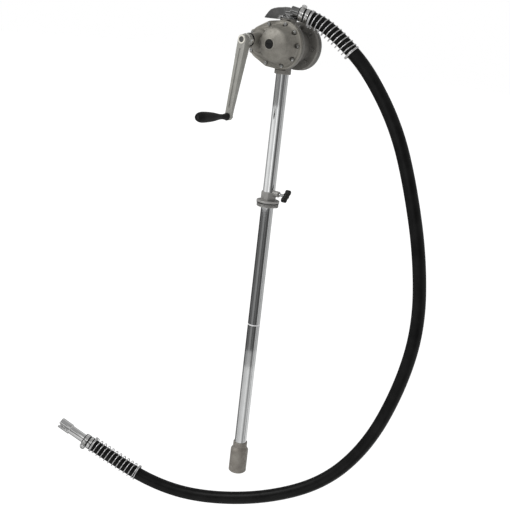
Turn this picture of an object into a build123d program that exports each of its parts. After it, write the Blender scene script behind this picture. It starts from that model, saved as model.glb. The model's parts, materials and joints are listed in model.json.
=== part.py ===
from build123d import *
from math import acos, cos, hypot, pi, radians, sin, sqrt, tan
import os

# A hand-cranked rotary barrel pump on a suction tube. Millimetres, +Z up along the tube. The
# origin is the middle of the bung thread, on the tube's axis, and the crank side faces -Y.

# ---------------------------------------------------------------- driving dimensions
tube_radius = 16.85         # one-inch pipe, 33.7 mm outside
tube_bore = 13.85
thread_radius = 29.8        # two-inch pipe thread in the drum's bung
head_z = 423.0              # height of the rotor shaft
neck_bottom = head_z - 74.0
port_top = head_z + 66.0
port_radius = 21.8
tube_socket = 10.0
tube_joint_z = -341.0
foot_top = -697.0
foot_bottom = -789.0

# Planes across the head, as places along Y from the crank side to the back
cover_front = -22.0
cover_back = -13.0
body_front = -12.0
flange_back = -3.0
chamber_front = 4.0
rear_flange_front = 54.0
rear_flange_back = 64.0
rear_cover_front = 65.0
rear_cover_back = 76.0
gear_front = -34.0
gear_width = 16.0

# Reduction gears: the crank shaft sits beside the rotor shaft, a little above it
gear_module = 2.0
pinion_teeth = 20
drive_teeth = 40
gear_slack = 0.24
gear_distance = gear_module * (pinion_teeth + drive_teeth) / 2
gear_line = 176.0           # direction from the rotor shaft to the crank shaft, degrees
crank_x = gear_distance * cos(radians(gear_line))
crank_up = gear_distance * sin(radians(gear_line))
crank_shaft_radius = 7.5
crank_journal_radius = 6.0
rotor_shaft_radius = 8.0
running_gap = 0.04
crank_radius = 201.0        # from the crank shaft to the grip
crank_lean = 6.0            # degrees that the hanging crank leans outwards
arm_front = -111.0
arm_back = -88.0
seal_front = -82.0
seal_back = -79.0
grip_end = -233.0
spindle_radius = 4.0

# Internal gear pump: a ring of fingers around a smaller idler
pump_module = 4.4
ring_teeth = 12
idler_teeth = 8
pump_pressure_angle = 30.0
pump_slack = 0.3
idler_offset = pump_module * (ring_teeth - idler_teeth) / 2
chamber_radius = 36.5
rotor_radius = 36.1
finger_inner = 23.7
rotor_front = 4.3
rotor_disc = 7.7
rotor_back = 62.0
idler_tip = 20.9
idler_root = 14.4
idler_pin_radius = 6.0
idler_bush_radius = 8.5

# Gear case outline
case_radius = 62.5
ear_radius = 45.0
ear_up = 0.2
cover_bolt_circle = 54.0
cover_bolt_angles = (80, 41, 3, -37, -78)
shoulder_bolts = [(-43.0, 49.0), (-40.0, -50.5)]
ear_bolts = [(-93.0, 23.0), (-92.0, -22.5)]
lug_radius = 8.5
gear_case_radius = 43.6
pinion_case_radius = 24.5
neck_cut = 63.4             # the neck and the port clear the gear cover beyond this height
waist_radius = 41.5
rear_radius = 62.6
rear_bolts = 8
rear_bolt_circle = 51.0
rear_bolt_start = -4.5
bolt_radius = 3.0
bolt_hole = 3.2
bolt_flats = 8.5
bolt_head = 4.0
passage_radius = 9.0
passage_y = 3.0

# Outlet elbow, as places along the hose's upright plane and heights above the rotor shaft
elbow_base = 67.5
elbow_base_top = 71.0
elbow_radius = 14.2
elbow_riser_radius = 13.5
elbow_shoulder_radius = 13.8
elbow_up = 82.0
spout_half_width = 17.5
spout_wall = 2.0

# Hose
hose_radius = 18.0
hose_bore = 12.7
hose_azimuth = 22.0         # the upright plane that the hose lies in, degrees from +X
hose_route = [
    (26, 506), (77, 496), (149, 450), (226, 381), (314, 252), (371, 108), (425, -80),
    (450, -270), (423, -451), (360, -631), (254, -769), (90, -857), (-99, -901),
    (-252, -892), (-410, -832), (-481.5, -800),
]
spring_inner = 18.3
spring_outer = 22.5
upper_spring_start = 28.5   # along the hose from the elbow
upper_spring_end = (178.8, 423.3)
lower_spring_start = (-304.5, -872.1)
lower_spring_end = 29.0     # along the hose from the nozzle end
nipple_length = 26.0
band_thickness = 1.2

os.makedirs("parts", exist_ok=True)


# ---------------------------------------------------------------- planes and helpers
def facing_front(y, x=0.0, z=head_z):
    """A plane across the head at y, seen from the crank side: extruding goes towards -Y."""
    return Plane(origin=(x, y, z), x_dir=(1, 0, 0), z_dir=(0, -1, 0))


def crank_plane(y, down=0.0):
    """As facing_front, centred on the crank shaft or that far down the hanging crank."""
    lean = radians(crank_lean)
    centre = (crank_x - down * sin(lean), y, head_z + crank_up - down * cos(lean))
    return Plane(origin=centre, x_dir=(cos(lean), 0, -sin(lean)), z_dir=(0, -1, 0))


def save(builder, label):
    builder.part.label = label
    export_step(builder.part, f"parts/{label}.step")


def disc(plane, radius, length, mode=Mode.ADD):
    with BuildSketch(plane) as profile:
        Circle(radius)
    extrude(profile.sketch, amount=length, mode=mode)


def ring(plane, outer, inner, length, mode=Mode.ADD):
    """A tube of the given radii, standing on a plane."""
    with BuildSketch(plane) as profile:
        Circle(outer)
        Circle(inner, mode=Mode.SUBTRACT)
    extrude(profile.sketch, amount=length, mode=mode)


def turned(points, x=0.0, z=head_z, mode=Mode.ADD):
    """A solid of revolution about a line along Y, from (radius, y) points."""
    with BuildSketch(Plane(origin=(x, 0, z), x_dir=(1, 0, 0), z_dir=(0, 0, 1))) as profile:
        with BuildLine():
            Polyline(*points, close=True)
        make_face()
    revolve(profile.sketch, axis=Axis((x, 0, z), (0, 1, 0)), mode=mode)


def turned_upright(points, mode=Mode.ADD):
    """A solid of revolution about the tube's axis, from (radius, z) points."""
    with BuildSketch(Plane.XZ) as profile:
        with BuildLine():
            Polyline(*points, close=True)
        make_face()
    revolve(profile.sketch, axis=Axis.Z, mode=mode)


def polar(radius, angle):
    return (radius * cos(angle), radius * sin(angle))


def tooth(teeth, module, pressure_angle, low, high, slack, reach):
    """One involute tooth about the x axis, its flanks from radius low to high, and straight
    out from there to reach. A negative slack makes it wider, as the gap of a ring gear."""
    alpha = radians(pressure_angle)
    pitch_radius = module * teeth / 2
    base_radius = pitch_radius * cos(alpha)

    def half_angle(radius):
        roll = acos(min(1.0, base_radius / radius))
        at_pitch = pi / (2 * teeth) - slack / (2 * pitch_radius) + tan(alpha) - alpha
        return at_pitch - (tan(roll) - roll)

    radii = [low + (high - low) * k / 4 for k in range(5)]
    upper = [polar(radius, half_angle(radius)) for radius in radii]
    lower = [polar(radius, -half_angle(radius)) for radius in radii]
    root = 0.9 * low
    with BuildSketch() as outline:
        with BuildLine():
            Polyline(lower[0], polar(root, -half_angle(low)), polar(root, half_angle(low)),
                     upper[0])
            Spline(*lower)
            Spline(*upper)
            if reach > high:
                Line(lower[-1], polar(reach, -half_angle(high)))
                Line(upper[-1], polar(reach, half_angle(high)))
            Line(polar(reach, -half_angle(high)), polar(reach, half_angle(high)))
        make_face()
    return outline.sketch


def spur_gear(plane, outline, teeth, start, width, root):
    """A gear standing on a plane, with the middle of a tooth in direction start."""
    with BuildSketch(plane) as profile:
        Circle(root * 1.01)
        with PolarLocations(0, teeth, start_angle=start):
            add(outline)
    extrude(profile.sketch, amount=width)


def bolt(plane, flats, head, radius, length):
    """A hexagon bolt: the head stands on the plane and the shank goes behind it."""
    with BuildSketch(plane) as profile:
        RegularPolygon(flats / 2, 6, major_radius=False)
    extrude(profile.sketch, amount=head)
    disc(plane, radius, -length)


def at(plane, x, up):
    """The same plane, moved to a place on itself."""
    return Plane(origin=plane.from_local_coords((x, up, 0)), x_dir=plane.x_dir, z_dir=plane.z_dir)


# ---------------------------------------------------------------- gear case outline
cup_bolts = [polar(cover_bolt_circle, radians(angle)) for angle in cover_bolt_angles]
cover_bolt_places = cup_bolts + shoulder_bolts + ear_bolts

with BuildSketch() as case_outline:
    Circle(case_radius)
    with Locations((crank_x, ear_up)):
        Circle(ear_radius)
    with Locations(*shoulder_bolts):
        Circle(lug_radius)
    make_hull()
    with Locations(*cover_bolt_places):
        Circle(lug_radius)

with BuildSketch() as case_inside:
    Circle(gear_case_radius)
    with Locations((crank_x, crank_up)):
        Circle(pinion_case_radius)


def case_plate(y, thickness):
    """A plate with the gear case's outline, from y towards the front."""
    with BuildSketch(facing_front(y)) as profile:
        add(case_outline.sketch)
    extrude(profile.sketch, amount=thickness)


def case_bolt_holes(y, depth):
    with BuildSketch(facing_front(y)) as profile:
        with Locations(*cover_bolt_places):
            Circle(bolt_hole)
    extrude(profile.sketch, amount=depth, mode=Mode.SUBTRACT)


# ---------------------------------------------------------------- bung adaptor
collar_bottom = 13.0
collar_top = 35.5
collar_flats = 39.0
bung_bore = tube_radius + 0.08
seal_bottom = 0.0
seal_height = 4.0
seal_outer = 20.5
screw_z = 33.5
boss_radius = 8.0
boss_end = 34.0
screw_radius = 4.0
pad_radius = 3.6
pad_face = tube_radius + 0.3
pad_end = 19.7
screw_tip = 20.0
knob_inner = 51.5
knob_outer = 63.0
knob_tilt = 40.0

with BuildPart() as bung_adaptor:
    turned_upright([(0, -5), (thread_radius - 1.2, -5), (thread_radius, -3.8),
                    (thread_radius, 5), (28.2, 5), (28.2, 7), (31, 7), (31, 12),
                    (29.5, collar_bottom), (0, collar_bottom)])
    with BuildSketch(Plane.XY.offset(collar_bottom)):
        RegularPolygon(collar_flats / 2, 6, major_radius=False)
    extrude(amount=collar_top - collar_bottom)
    fillet(bung_adaptor.edges().filter_by(Axis.Z).group_by(Axis.Z)[-1], 3)
    disc(Plane(origin=(0, 0, screw_z), x_dir=(0, 1, 0), z_dir=(1, 0, 0)), boss_radius, boss_end)
    disc(Plane.XY.offset(-5), bung_bore, 60, mode=Mode.SUBTRACT)
    disc(Plane.XY.offset(seal_bottom), seal_outer, seal_height, mode=Mode.SUBTRACT)
    disc(Plane(origin=(0, 0, screw_z), x_dir=(0, 1, 0), z_dir=(1, 0, 0)),
         screw_radius + 0.05, boss_end, mode=Mode.SUBTRACT)
save(bung_adaptor, "bung_adaptor")

with BuildPart() as tube_seal_ring:
    ring(Plane.XY.offset(seal_bottom), seal_outer, tube_radius + 0.3, seal_height)
save(tube_seal_ring, "tube_seal_ring")

with BuildPart() as bung_gasket:
    ring(Plane.XY.offset(5), 30.6, 28.2, 2)
save(bung_gasket, "bung_gasket")


# ---------------------------------------------------------------- height clamp
screw_plane = Plane(origin=(0, 0, screw_z), x_dir=(0, 1, 0), z_dir=(1, 0, 0))

with BuildPart() as clamp_pad:
    disc(screw_plane.offset(pad_face), pad_radius, pad_end - pad_face)
save(clamp_pad, "clamp_pad")

with BuildPart() as thumb_screw:
    disc(screw_plane.offset(screw_tip), screw_radius, knob_outer - 4 - screw_tip)
save(thumb_screw, "thumb_screw")

with BuildPart() as thumb_knob:
    with BuildSketch(screw_plane.offset(knob_inner)):
        Circle(7.5)
        with Locations(Location((0, 0), 90 - knob_tilt)):
            SlotOverall(36, 12)
            with GridLocations(12, 0, 3, 1):
                Circle(7)
    extrude(amount=knob_outer - knob_inner)
    fillet(thumb_knob.faces().sort_by(Axis.X)[-1].edges(), 1.5)
    disc(screw_plane.offset(knob_inner), screw_radius, knob_outer - 4 - knob_inner,
         mode=Mode.SUBTRACT)
save(thumb_knob, "thumb_knob")


# ---------------------------------------------------------------- suction tube and foot valve
joint_lip = 1.5
joint_sleeve = 20.0
foot_socket = 20.0

with BuildPart() as suction_tube_upper:
    top = neck_bottom + tube_socket
    bottom = tube_joint_z + joint_lip
    ring(Plane.XY.offset(bottom), tube_radius, tube_bore, top - bottom)
save(suction_tube_upper, "suction_tube_upper")

with BuildPart() as suction_tube_lower:
    bottom = foot_top - foot_socket
    ring(Plane.XY.offset(bottom), tube_radius, tube_bore, tube_joint_z - joint_lip - bottom)
save(suction_tube_lower, "suction_tube_lower")

with BuildPart() as tube_joint:
    ring(Plane.XY.offset(tube_joint_z - joint_sleeve), tube_bore, 12, 2 * joint_sleeve)
    ring(Plane.XY.offset(tube_joint_z - joint_lip), tube_radius, 12, 2 * joint_lip)
save(tube_joint, "tube_joint")

foot_recess = 18.0
seat_top = -763.0
seat_bottom = -777.0
seat_bore = 6.5
seat_lead = 1.8
cage_radius = 15.0
cage_top = -740.0
ball_radius = 10.0
screen_thickness = 1.2

with BuildPart() as foot_valve_body:
    turned_upright([(0, foot_top), (20, foot_top), (20, foot_top - 15), (25, foot_top - 23),
                    (25, foot_bottom + 3), (22, foot_bottom), (0, foot_bottom)])
    disc(Plane.XY.offset(foot_top), tube_radius, -foot_socket, mode=Mode.SUBTRACT)
    disc(Plane.XY.offset(foot_bottom), foot_recess, seat_top - foot_bottom,
         mode=Mode.SUBTRACT)
    disc(Plane.XY.offset(seat_top), cage_radius, cage_top - seat_top, mode=Mode.SUBTRACT)
    with BuildSketch(Plane.XY.offset(cage_top)):
        with PolarLocations(8.5, 4):
            Circle(4)
    extrude(amount=foot_top - foot_socket - cage_top, mode=Mode.SUBTRACT)
save(foot_valve_body, "foot_valve_body")

with BuildPart() as foot_valve_seat:
    turned_upright([(seat_bore + seat_lead, seat_top), (foot_recess, seat_top),
                    (foot_recess, seat_bottom), (15, seat_bottom), (15, seat_top - 7),
                    (seat_bore, seat_top - 4), (seat_bore, seat_top - seat_lead)])
save(foot_valve_seat, "foot_valve_seat")

with BuildPart() as valve_ball:
    rise = sqrt(2) * (ball_radius + 0.3) - seat_bore - seat_lead
    with Locations((0, 0, seat_top + rise)):
        Sphere(ball_radius)
save(valve_ball, "valve_ball")

with BuildPart() as strainer_screen:
    disc(Plane.XY.offset(seat_bottom), foot_recess, -screen_thickness)
    with BuildSketch(Plane.XY.offset(seat_bottom)):
        with HexLocations(2.4, 7, 7):
            Circle(1.5)
    extrude(amount=-screen_thickness, mode=Mode.SUBTRACT)
save(strainer_screen, "strainer_screen")

with BuildPart() as strainer_ring:
    ring(Plane.XY.offset(foot_bottom), foot_recess, 14.5,
         seat_bottom - screen_thickness - foot_bottom)
save(strainer_ring, "strainer_ring")


# ---------------------------------------------------------------- pump body
bulkhead_bore = 12.0
rear_bush_radius = 9.0
rear_bush_boss = 13.0
rear_bush_end = 6.0

with BuildPart() as pump_body:
    case_plate(flange_back, flange_back - body_front)
    disc(facing_front(rear_flange_front), waist_radius, rear_flange_front - flange_back)
    disc(facing_front(rear_flange_back), rear_radius, rear_flange_back - rear_flange_front)
    disc(facing_front(rear_bush_end, crank_x, head_z + crank_up), rear_bush_boss,
         rear_bush_end - flange_back)
    disc(Plane.XY.offset(neck_bottom), port_radius, port_top - neck_bottom)
    with BuildSketch(Plane.XZ.offset(-body_front)):
        with Locations((0, head_z)):
            Rectangle(160, 2 * neck_cut)
    extrude(amount=30, mode=Mode.SUBTRACT)
    disc(facing_front(rear_flange_back), chamber_radius, rear_flange_back - chamber_front,
         mode=Mode.SUBTRACT)
    disc(facing_front(chamber_front), bulkhead_bore, chamber_front - body_front,
         mode=Mode.SUBTRACT)
    disc(facing_front(rear_bush_end - 2, crank_x, head_z + crank_up), rear_bush_radius,
         rear_bush_end - 2 - body_front, mode=Mode.SUBTRACT)
    disc(Plane.XY.offset(neck_bottom), tube_radius, tube_socket, mode=Mode.SUBTRACT)
    with BuildSketch(Plane.XY.offset(neck_bottom)):
        with Locations((0, passage_y)):
            Circle(passage_radius)
    extrude(amount=head_z - 25 - neck_bottom, mode=Mode.SUBTRACT)
    with BuildSketch(Plane.XY.offset(port_top)):
        with Locations((0, passage_y)):
            Circle(passage_radius)
    extrude(amount=head_z + 25 - port_top, mode=Mode.SUBTRACT)
    case_bolt_holes(flange_back, flange_back - body_front)
    with BuildSketch(facing_front(rear_flange_back)):
        with PolarLocations(rear_bolt_circle, rear_bolts, start_angle=rear_bolt_start):
            Circle(bolt_hole)
    extrude(amount=rear_flange_back - rear_flange_front, mode=Mode.SUBTRACT)
save(pump_body, "pump_body")

with BuildPart() as rotor_shaft_seal:
    ring(facing_front(-7), bulkhead_bore, rotor_shaft_radius + running_gap, 5)
save(rotor_shaft_seal, "rotor_shaft_seal")

with BuildPart() as rotor_shaft_bush:
    ring(facing_front(chamber_front - 0.5), bulkhead_bore, rotor_shaft_radius + running_gap,
         chamber_front - 0.5 + 7)
save(rotor_shaft_bush, "rotor_shaft_bush")

with BuildPart() as crank_rear_bush:
    ring(facing_front(3, crank_x, head_z + crank_up), rear_bush_radius,
         crank_journal_radius + running_gap, 15)
save(crank_rear_bush, "crank_rear_bush")


# ---------------------------------------------------------------- gear cover
dome_radius = 54.0
ear_dome_radius = 38.0
dome_rise = 9.0
dome_taper = 40.0
cup_edge_y = -57.0
cup_cone_y = -60.0
plug_boss_y = -74.0
plug_head_radius = 12.0
plug_shank_radius = 8.0
front_bush_radius = 12.0
crank_bush_radius = 11.0

with BuildPart() as gear_cover:
    case_plate(cover_back, cover_back - cover_front)
    with BuildSketch(facing_front(cover_front)):
        Circle(dome_radius)
        with Locations((crank_x, ear_up)):
            Circle(ear_dome_radius)
        make_hull()
    extrude(amount=dome_rise, taper=dome_taper)
    turned([(0, cover_front), (57, cover_front), (51.5, -26), (48, -34), (42, cup_edge_y),
            (38.5, cup_cone_y), (16.5, -72), (15, plug_boss_y), (0, plug_boss_y)])
    turned([(0, cover_front), (31, cover_front), (28, -38), (20.5, -46), (18, seal_back),
            (0, seal_back)], crank_x, head_z + crank_up)
    with BuildSketch(facing_front(cover_back)):
        add(case_inside.sketch)
    extrude(amount=cover_back - gear_front + 4, mode=Mode.SUBTRACT)
    turned([(0, -37), (gear_case_radius, -37), (38, -54), (0, -54)], mode=Mode.SUBTRACT)
    disc(facing_front(-46), 17, 10)
    disc(facing_front(-46), front_bush_radius, 11, mode=Mode.SUBTRACT)
    disc(facing_front(-56), plug_shank_radius, 20, mode=Mode.SUBTRACT)
    disc(facing_front(-70.5), plug_head_radius, 5, mode=Mode.SUBTRACT)
    disc(facing_front(-37, crank_x, head_z + crank_up), crank_bush_radius, 33,
         mode=Mode.SUBTRACT)
    disc(facing_front(-69, crank_x, head_z + crank_up), crank_shaft_radius + 0.5, 12,
         mode=Mode.SUBTRACT)
    with BuildSketch(facing_front(cover_front)):
        with Locations(*cover_bolt_places):
            Circle(6.8)
    extrude(amount=16, mode=Mode.SUBTRACT)
    case_bolt_holes(cover_back, cover_back - cover_front)
save(gear_cover, "gear_cover")

with BuildPart() as gear_cover_gasket:
    case_plate(body_front, 1.0)
    with BuildSketch(facing_front(body_front)):
        add(case_inside.sketch)
    extrude(amount=1.0, mode=Mode.SUBTRACT)
    case_bolt_holes(body_front, 1.0)
save(gear_cover_gasket, "gear_cover_gasket")

with BuildPart() as gear_cover_bolts:
    for x, up in cover_bolt_places:
        bolt(at(facing_front(cover_front), x, up), bolt_flats, bolt_head, bolt_radius, 17)
save(gear_cover_bolts, "gear_cover_bolts")

with BuildPart() as rotor_front_bush:
    ring(facing_front(-46), front_bush_radius, rotor_shaft_radius + running_gap, 11)
save(rotor_front_bush, "rotor_front_bush")

with BuildPart() as crank_front_bush:
    ring(facing_front(-50, crank_x, head_z + crank_up), crank_bush_radius,
         crank_shaft_radius + running_gap, 20)
save(crank_front_bush, "crank_front_bush")

with BuildPart() as crank_shaft_seal:
    ring(facing_front(seal_back, crank_x, head_z + crank_up), 18,
         crank_shaft_radius + 0.4, seal_back - seal_front)
save(crank_shaft_seal, "crank_shaft_seal")

with BuildPart() as filler_plug:
    disc(facing_front(-60), plug_shank_radius, 10.5)
    disc(facing_front(-70.5), plug_head_radius, 4.5)
    with BuildSketch(facing_front(-75)):
        Rectangle(16, 2.5)
    extrude(amount=-2, mode=Mode.SUBTRACT)
save(filler_plug, "filler_plug")


# ---------------------------------------------------------------- rear cover and idler
crescent_front = rotor_front + rotor_disc + 0.5
idler_front = crescent_front

with BuildPart() as rear_cover:
    disc(facing_front(rear_cover_back), rear_radius, rear_cover_back - rear_cover_front)
    disc(facing_front(rear_cover_back + 3), 28, 3)
    fillet(rear_cover.faces().sort_by(Axis.Y)[-1].edges(), 2)
    with BuildSketch(facing_front(rear_cover_front)):
        Circle(finger_inner - 0.35)
        with Locations((idler_offset, 0)):
            Circle(idler_tip + 0.35, mode=Mode.SUBTRACT)
        with Locations((25, 0)):
            Rectangle(40, 60, mode=Mode.SUBTRACT)
    extrude(amount=rear_cover_front - crescent_front)
    disc(facing_front(rear_cover_back, idler_offset), idler_pin_radius, 20,
         mode=Mode.SUBTRACT)
    with BuildSketch(facing_front(rear_cover_back)):
        with PolarLocations(rear_bolt_circle, rear_bolts, start_angle=rear_bolt_start):
            Circle(bolt_hole)
    extrude(amount=rear_cover_back - rear_cover_front, mode=Mode.SUBTRACT)
save(rear_cover, "rear_cover")

with BuildPart() as rear_cover_gasket:
    with BuildSketch(facing_front(rear_cover_front)):
        Circle(rear_radius)
        Circle(chamber_radius, mode=Mode.SUBTRACT)
        with PolarLocations(rear_bolt_circle, rear_bolts, start_angle=rear_bolt_start):
            Circle(bolt_hole, mode=Mode.SUBTRACT)
    extrude(amount=rear_cover_front - rear_flange_back)
save(rear_cover_gasket, "rear_cover_gasket")

with BuildPart() as rear_cover_bolts:
    for k in range(rear_bolts):
        angle = radians(rear_bolt_start + 360 * k / rear_bolts)
        place = polar(rear_bolt_circle, angle)
        bolt(at(facing_front(rear_flange_front), *place), bolt_flats, bolt_head, bolt_radius, 21)
save(rear_cover_bolts, "rear_cover_bolts")

with BuildPart() as idler_pin:
    disc(facing_front(rear_cover_back, idler_offset), idler_pin_radius,
         rear_cover_back - idler_front - 1)
save(idler_pin, "idler_pin")

with BuildPart() as idler_bush:
    ring(facing_front(rotor_back, idler_offset), idler_bush_radius,
         idler_pin_radius + running_gap, rotor_back - idler_front)
save(idler_bush, "idler_bush")

with BuildPart() as idler_gear:
    outline = tooth(idler_teeth, pump_module, pump_pressure_angle, idler_root, idler_tip,
                    pump_slack, idler_tip)
    spur_gear(facing_front(rotor_back, idler_offset), outline, idler_teeth, 0,
              rotor_back - idler_front, idler_root)
    disc(facing_front(rotor_back, idler_offset), idler_bush_radius, rotor_back - idler_front,
         mode=Mode.SUBTRACT)
save(idler_gear, "idler_gear")


# ---------------------------------------------------------------- rotor and drive gear
rotor_disc_back = rotor_front + rotor_disc

with BuildPart() as rotor:
    disc(facing_front(rotor_disc_back), rotor_radius, rotor_disc)
    ring(facing_front(rotor_back), rotor_radius, finger_inner, rotor_back - rotor_disc_back)
    gap = tooth(ring_teeth, pump_module, pump_pressure_angle, finger_inner - 0.8, 31.0,
                -pump_slack, rotor_radius + 2)
    with BuildSketch(facing_front(rotor_back)):
        with PolarLocations(0, ring_teeth):
            add(gap)
    extrude(amount=rotor_back - rotor_disc_back, mode=Mode.SUBTRACT)
    disc(facing_front(rotor_disc_back), rotor_shaft_radius, rotor_disc, mode=Mode.SUBTRACT)
save(rotor, "rotor")

with BuildPart() as rotor_shaft:
    disc(facing_front(rotor_disc_back), rotor_shaft_radius, rotor_disc_back + 56)
save(rotor_shaft, "rotor_shaft")

with BuildPart() as drive_gear:
    root = gear_module * (drive_teeth / 2 - 1.25)
    tip = gear_module * (drive_teeth / 2 + 0.9)
    outline = tooth(drive_teeth, gear_module, 20, root, tip, gear_slack, tip)
    spur_gear(facing_front(gear_front + gear_width), outline, drive_teeth, gear_line,
              gear_width, root)
    ring(facing_front(gear_front), 30, 14, 5, mode=Mode.SUBTRACT)
    ring(facing_front(gear_front + 5), 30, 14, 5, mode=Mode.SUBTRACT)
    disc(facing_front(gear_front + gear_width), rotor_shaft_radius, gear_width,
         mode=Mode.SUBTRACT)
save(drive_gear, "drive_gear")

with BuildPart() as gear_nut:
    with BuildSketch(facing_front(gear_front)):
        RegularPolygon(12, 6, major_radius=False)
        Circle(rotor_shaft_radius, mode=Mode.SUBTRACT)
    extrude(amount=8)
save(gear_nut, "gear_nut")


# ---------------------------------------------------------------- crank
with BuildPart() as input_pinion:
    root = gear_module * (pinion_teeth / 2 - 1.25)
    tip = gear_module * (pinion_teeth / 2 + 0.9)
    outline = tooth(pinion_teeth, gear_module, 20, root, tip, gear_slack, tip)
    spur_gear(facing_front(gear_front + gear_width, crank_x, head_z + crank_up), outline,
              pinion_teeth, gear_line + 180 + 180 / pinion_teeth, gear_width, root)
    disc(facing_front(gear_front + gear_width, crank_x, head_z + crank_up),
         crank_shaft_radius, gear_width, mode=Mode.SUBTRACT)
save(input_pinion, "input_pinion")

with BuildPart() as crank_shaft:
    disc(crank_plane(gear_front + gear_width), crank_shaft_radius,
         gear_front + gear_width - arm_front + 1)
    disc(crank_plane(2.5), crank_journal_radius, 2.5 - gear_front - gear_width)
save(crank_shaft, "crank_shaft")

arm_side = Plane(
    origin=crank_plane(0).origin,
    x_dir=(0, -1, 0),
    z_dir=crank_plane(0).x_dir,
)
hub_radius = 16.0
arm_end = crank_radius + 9.5

with BuildPart() as crank_arm:
    with BuildSketch(crank_plane(arm_back)):
        Circle(12.5)
        with Locations((0, -crank_radius)):
            Circle(9.5)
        make_hull()
    extrude(amount=arm_back - arm_front)
    with BuildSketch(arm_side):
        with BuildLine():
            Polyline((-arm_back, -15), (-arm_front, -15), (-arm_front, arm_end),
                     (-arm_front - 11, arm_end), (-arm_front - 11, crank_radius - 12),
                     (-arm_back, 18), close=True)
        make_face()
    extrude(amount=20, both=True, mode=Mode.INTERSECT)
    disc(crank_plane(seal_front - 0.4), hub_radius, seal_front - 0.4 + 96)
    with BuildSketch(crank_plane(arm_front)):
        with Locations((0, -crank_radius / 2)):
            SlotOverall(crank_radius - 46, 5, rotation=90)
    extrude(amount=-2, mode=Mode.SUBTRACT)
    disc(crank_plane(-60), crank_shaft_radius, 60, mode=Mode.SUBTRACT)
    disc(crank_plane(-90, crank_radius), spindle_radius, 30, mode=Mode.SUBTRACT)
    set_screw_plane = Plane(origin=crank_plane(-89.5).origin, x_dir=(0, 1, 0),
                            z_dir=crank_plane(0).x_dir)
    disc(set_screw_plane, 3, 30, mode=Mode.SUBTRACT)
save(crank_arm, "crank_arm")

with BuildPart() as crank_set_screw:
    disc(set_screw_plane.offset(crank_shaft_radius), 3, hub_radius - crank_shaft_radius)
    with BuildSketch(set_screw_plane.offset(hub_radius)):
        RegularPolygon(4.5, 6, major_radius=False)
    extrude(amount=4)
save(crank_set_screw, "crank_set_screw")

with BuildPart() as crank_ring:
    ring(crank_plane(arm_front), 11, crank_shaft_radius, 1.5)
save(crank_ring, "crank_ring")

nut_thickness = 5.0
with BuildPart() as grip_spindle:
    disc(crank_plane(arm_front + 11 + nut_thickness, crank_radius), spindle_radius,
         arm_front + 11 + nut_thickness - grip_end - 4)
    disc(crank_plane(grip_end + 6, crank_radius), 6.5, 3)
save(grip_spindle, "grip_spindle")

with BuildPart() as spindle_nut:
    with BuildSketch(crank_plane(arm_front + 11 + nut_thickness, crank_radius)):
        RegularPolygon(6.5, 6, major_radius=False)
        Circle(spindle_radius, mode=Mode.SUBTRACT)
    extrude(amount=nut_thickness)
save(spindle_nut, "spindle_nut")

grip_profile = [(10.3, -114), (6.8, -134), (10.5, -163), (13.9, -203), (10.5, -228)]
with BuildPart() as grip:
    grip_x = crank_plane(0, crank_radius).origin.X
    grip_z = crank_plane(0, crank_radius).origin.Z
    with BuildSketch(Plane(origin=(grip_x, 0, grip_z), x_dir=(1, 0, 0), z_dir=(0, 0, 1))):
        with BuildLine():
            Polyline((10.3, -114), (9.5, arm_front - 0.5), (0, arm_front - 0.5),
                     (0, grip_end), (7, grip_end))
            Spline((7, grip_end), *reversed(grip_profile))
        make_face()
    revolve(axis=Axis((grip_x, 0, grip_z), (0, 1, 0)))
    disc(crank_plane(arm_front, crank_radius), spindle_radius + 0.05, 130,
         mode=Mode.SUBTRACT)
    disc(crank_plane(grip_end + 6.4, crank_radius), 6.9, 8, mode=Mode.SUBTRACT)
save(grip, "grip")


# ---------------------------------------------------------------- hose
hose_lean = radians(hose_azimuth)
hose_plane = Plane(
    origin=(0, 0, 0),
    x_dir=(cos(hose_lean), sin(hose_lean), 0),
    z_dir=(sin(hose_lean), -cos(hose_lean), 0),
)


def run_length(start, end):
    return hypot(end[0] - start[0], end[1] - start[1])


def corner_radius(before, corner, after):
    """The arc at a corner, reaching 0.45 of the shorter run to each side."""
    run_in = Vector(corner[0] - before[0], corner[1] - before[1])
    run_out = Vector(after[0] - corner[0], after[1] - corner[1])
    turn = radians(run_in.get_angle(run_out))
    return 0.45 * min(run_in.length, run_out.length) / tan(turn / 2)


def between(start, end, distance):
    """The point that lies a distance along a run."""
    part = distance / run_length(start, end)
    return (start[0] + (end[0] - start[0]) * part, start[1] + (end[1] - start[1]) * part)


def across_hose(start, end, distance=0.0):
    """A plane across a straight run of the hose, facing along it."""
    place = between(start, end, distance)
    origin = hose_plane.from_local_coords((place[0], place[1], 0))
    ahead = hose_plane.from_local_coords((end[0], end[1], 0))
    behind = hose_plane.from_local_coords((start[0], start[1], 0))
    return Plane(origin=origin, x_dir=hose_plane.z_dir, z_dir=ahead - behind)


hose_radii = [corner_radius(*hose_route[k:k + 3]) for k in range(len(hose_route) - 2)]
print("hose radii", [round(radius) for radius in hose_radii])


def tube_along(route, radii, outer, inner):
    with BuildLine(hose_plane) as path:
        FilletPolyline(*route, radius=radii)
    with BuildSketch(across_hose(route[0], route[1])) as profile:
        Circle(outer)
        Circle(inner, mode=Mode.SUBTRACT)
    sweep(profile.sketch, path=path.line)
    return path.wire().length


with BuildPart() as hose:
    hose_length = tube_along(hose_route, hose_radii, hose_radius, hose_bore)
section = pi * (hose_radius ** 2 - hose_bore ** 2)
print("hose length", round(hose_length, 1))
print("hose volume", round(hose.part.volume), "section x length", round(section * hose_length))
save(hose, "hose")

last_run = run_length(hose_route[-2], hose_route[-1])
upper_start = between(hose_route[0], hose_route[1], upper_spring_start)
upper_route = [upper_start] + hose_route[1:3] + [upper_spring_end]
lower_end = between(hose_route[-2], hose_route[-1], last_run - lower_spring_end)
lower_route = [lower_spring_start] + hose_route[-2:-1] + [lower_end]

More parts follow.
